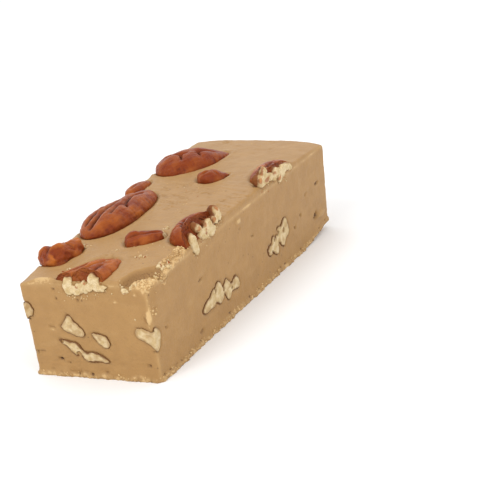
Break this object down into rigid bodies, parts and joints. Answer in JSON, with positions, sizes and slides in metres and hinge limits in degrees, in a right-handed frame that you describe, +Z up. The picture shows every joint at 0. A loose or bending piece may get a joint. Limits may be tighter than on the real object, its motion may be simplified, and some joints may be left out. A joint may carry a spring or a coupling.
{
  "type": "pecan fudge bar",
  "caption": "Knife-cut slice of light brown fudge lying flat, with pecan halves pressed into its top and cut pecan pieces showing in its sides.",
  "frame": {"origin": "centre of the base's bounding box, on the surface the bar rests on", "axes": "+X across the bar to the right, +Y along its length from the front cut face to the back one, +Z up"},
  "size_m": [0.0423, 0.1046, 0.0324],
  "materials": {
    "fudge": "smooth knife-cut fudge with a faint satin sheen",
    "pecan_skin": "wrinkled red-brown nut skin, slightly glossy",
    "pecan_kernel": "matt cream nut flesh, freshly cut"
  },
  "bodies": {
    "root": {"fudge": "fudge", "kernel_back_high": "pecan_kernel", "kernel_back_low": "pecan_kernel", "kernel_corner_left": "pecan_kernel", "kernel_corner_right": "pecan_kernel", "kernel_front_long": "pecan_kernel", "kernel_front_small": "pecan_kernel", "kernel_front_upper": "pecan_kernel", "kernel_left_far": "pecan_kernel", "kernel_left_middle": "pecan_kernel", "kernel_left_near": "pecan_kernel", "kernel_right_far": "pecan_kernel", "kernel_right_near": "pecan_kernel", "pecan_cut_back_right": "pecan_skin", "pecan_cut_front": "pecan_skin", "pecan_cut_mid_right": "pecan_skin", "pecan_half_back_left": "pecan_skin", "pecan_half_mid_left": "pecan_skin", "pecan_piece_back": "pecan_skin", "pecan_piece_centre": "pecan_skin", "pecan_piece_front_left": "pecan_skin", "pecan_sliver_left": "pecan_skin"}
  },
  "joints": []
}
